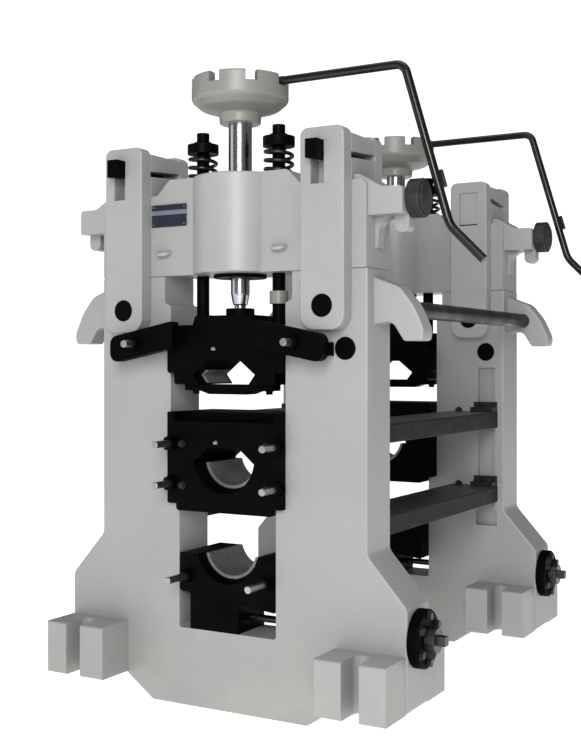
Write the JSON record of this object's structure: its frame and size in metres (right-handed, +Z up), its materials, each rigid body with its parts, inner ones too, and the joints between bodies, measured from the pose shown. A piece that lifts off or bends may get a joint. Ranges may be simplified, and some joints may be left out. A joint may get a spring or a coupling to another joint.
{
  "type": "rolling mill stand",
  "caption": "Three-high rolling mill stand without rolls: two cast housings with keyed-on caps, hand screw-downs, chocks, bottom wedges and rest bars.",
  "frame": {"origin": "on the floor under the near screw's axis, in the near housing's middle plane", "axes": "+Z up, +X across the mill the way the bar travels, towards the cranks and wedge screws, +Y along the rolls from the near to the far housing"},
  "size_m": [1.8085, 2.05, 2.455],
  "materials": {
    "cast_paint": "satin light grey-green paint",
    "black_paint": "satin black paint",
    "wheel_paint": "satin light grey-green paint",
    "bearing_liner": "dull machined",
    "bright_steel": "turned and polished",
    "dark_steel": "dark oiled",
    "ground_steel": "ground",
    "plate_dark": "satin",
    "drum_dark": "matt"
  },
  "bodies": {
    "mill": {"near_housing": "cast_paint", "near_cap": "cast_paint", "near_middle_chock": "black_paint", "near_balance_springs": "black_paint", "far_housing": "cast_paint", "far_cap": "cast_paint", "far_middle_chock": "black_paint", "far_balance_springs": "black_paint", "cap_straps": "cast_paint", "cap_cotters": "black_paint", "cotter_gibs": "cast_paint", "housing_pins": "black_paint", "screw_nuts": "bright_steel", "arm_end_drums": "drum_dark", "middle_riders": "black_paint", "middle_liners": "bearing_liner", "chock_clamps": "black_paint", "column_studs": "bright_steel", "wedge_flanges": "black_paint", "rest_bars": "dark_steel", "rest_bar_brackets": "dark_steel", "spreader_bars": "dark_steel", "name_plate": "plate_dark"},
    "near_top_chock_body": {"near_top_chock": "black_paint", "near_top_liner": "bearing_liner", "near_top_keeper": "black_paint", "near_balance_rods": "ground_steel", "near_breaker_cup": "black_paint"},
    "near_screw_body": {"near_screw": "bright_steel", "near_handwheel": "wheel_paint", "near_crank_bar": "black_paint"},
    "near_bottom_chock_body": {"near_bottom_chock": "black_paint", "near_bottom_liner": "bearing_liner"},
    "near_wedge_body": {"near_wedge": "black_paint"},
    "near_wedge_screw_body": {"near_wedge_screw": "bright_steel"},
    "far_top_chock_body": {"far_top_chock": "black_paint", "far_top_liner": "bearing_liner", "far_top_keeper": "black_paint", "far_balance_rods": "ground_steel", "far_breaker_cup": "black_paint"},
    "far_screw_body": {"far_screw": "bright_steel", "far_handwheel": "wheel_paint", "far_crank_bar": "black_paint"},
    "far_bottom_chock_body": {"far_bottom_chock": "black_paint", "far_bottom_liner": "bearing_liner"},
    "far_wedge_body": {"far_wedge": "black_paint"},
    "far_wedge_screw_body": {"far_wedge_screw": "bright_steel"}
  },
  "joints": [
    {"name": "near_chock_lift", "type": "slide", "parent": "mill", "child": "near_top_chock_body", "axis": [0, 0, 1], "range_m": [-0.032, 0.016], "deforming": ["near_balance_springs"]},
    {"name": "near_screw_turn", "type": "hinge", "parent": "near_top_chock_body", "child": "near_screw_body", "pos_m": [0, 0, 2.29], "axis": [0, 0, 1], "range_deg": [-735, 367.5]},
    {"name": "near_wedge_slide", "type": "slide", "parent": "mill", "child": "near_wedge_body", "axis": [1, 0, 0], "range_m": [-0.024, 0.024]},
    {"name": "near_wedge_turn", "type": "hinge", "parent": "mill", "child": "near_wedge_screw_body", "pos_m": [0.795, 0, 0.355], "axis": [1, 0, 0], "range_deg": [-735, 735]},
    {"name": "near_bottom_lift", "type": "slide", "parent": "mill", "child": "near_bottom_chock_body", "axis": [0, 0, 1], "range_m": [-0.0028, 0.0028]},
    {"name": "far_chock_lift", "type": "slide", "parent": "mill", "child": "far_top_chock_body", "axis": [0, 0, 1], "range_m": [-0.032, 0.016], "deforming": ["far_balance_springs"]},
    {"name": "far_screw_turn", "type": "hinge", "parent": "far_top_chock_body", "child": "far_screw_body", "pos_m": [0, 1.48, 2.29], "axis": [0, 0, 1], "range_deg": [-735, 367.5]},
    {"name": "far_wedge_slide", "type": "slide", "parent": "mill", "child": "far_wedge_body", "axis": [1, 0, 0], "range_m": [-0.024, 0.024]},
    {"name": "far_wedge_turn", "type": "hinge", "parent": "mill", "child": "far_wedge_screw_body", "pos_m": [0.795, 1.48, 0.355], "axis": [1, 0, 0], "range_deg": [-735, 735]},
    {"name": "far_bottom_lift", "type": "slide", "parent": "mill", "child": "far_bottom_chock_body", "axis": [0, 0, 1], "range_m": [-0.0028, 0.0028]}
  ],
  "couplings": [
    {"joint": "near_screw_turn", "follows": "near_chock_lift", "rad_per_m": 392.7},
    {"joint": "near_wedge_turn", "follows": "near_wedge_slide", "rad_per_m": -523.6},
    {"joint": "near_bottom_lift", "follows": "near_wedge_slide", "ratio": 0.11111},
    {"joint": "far_screw_turn", "follows": "far_chock_lift", "rad_per_m": 392.7},
    {"joint": "far_wedge_turn", "follows": "far_wedge_slide", "rad_per_m": -523.6},
    {"joint": "far_bottom_lift", "follows": "far_wedge_slide", "ratio": 0.11111}
  ]
}
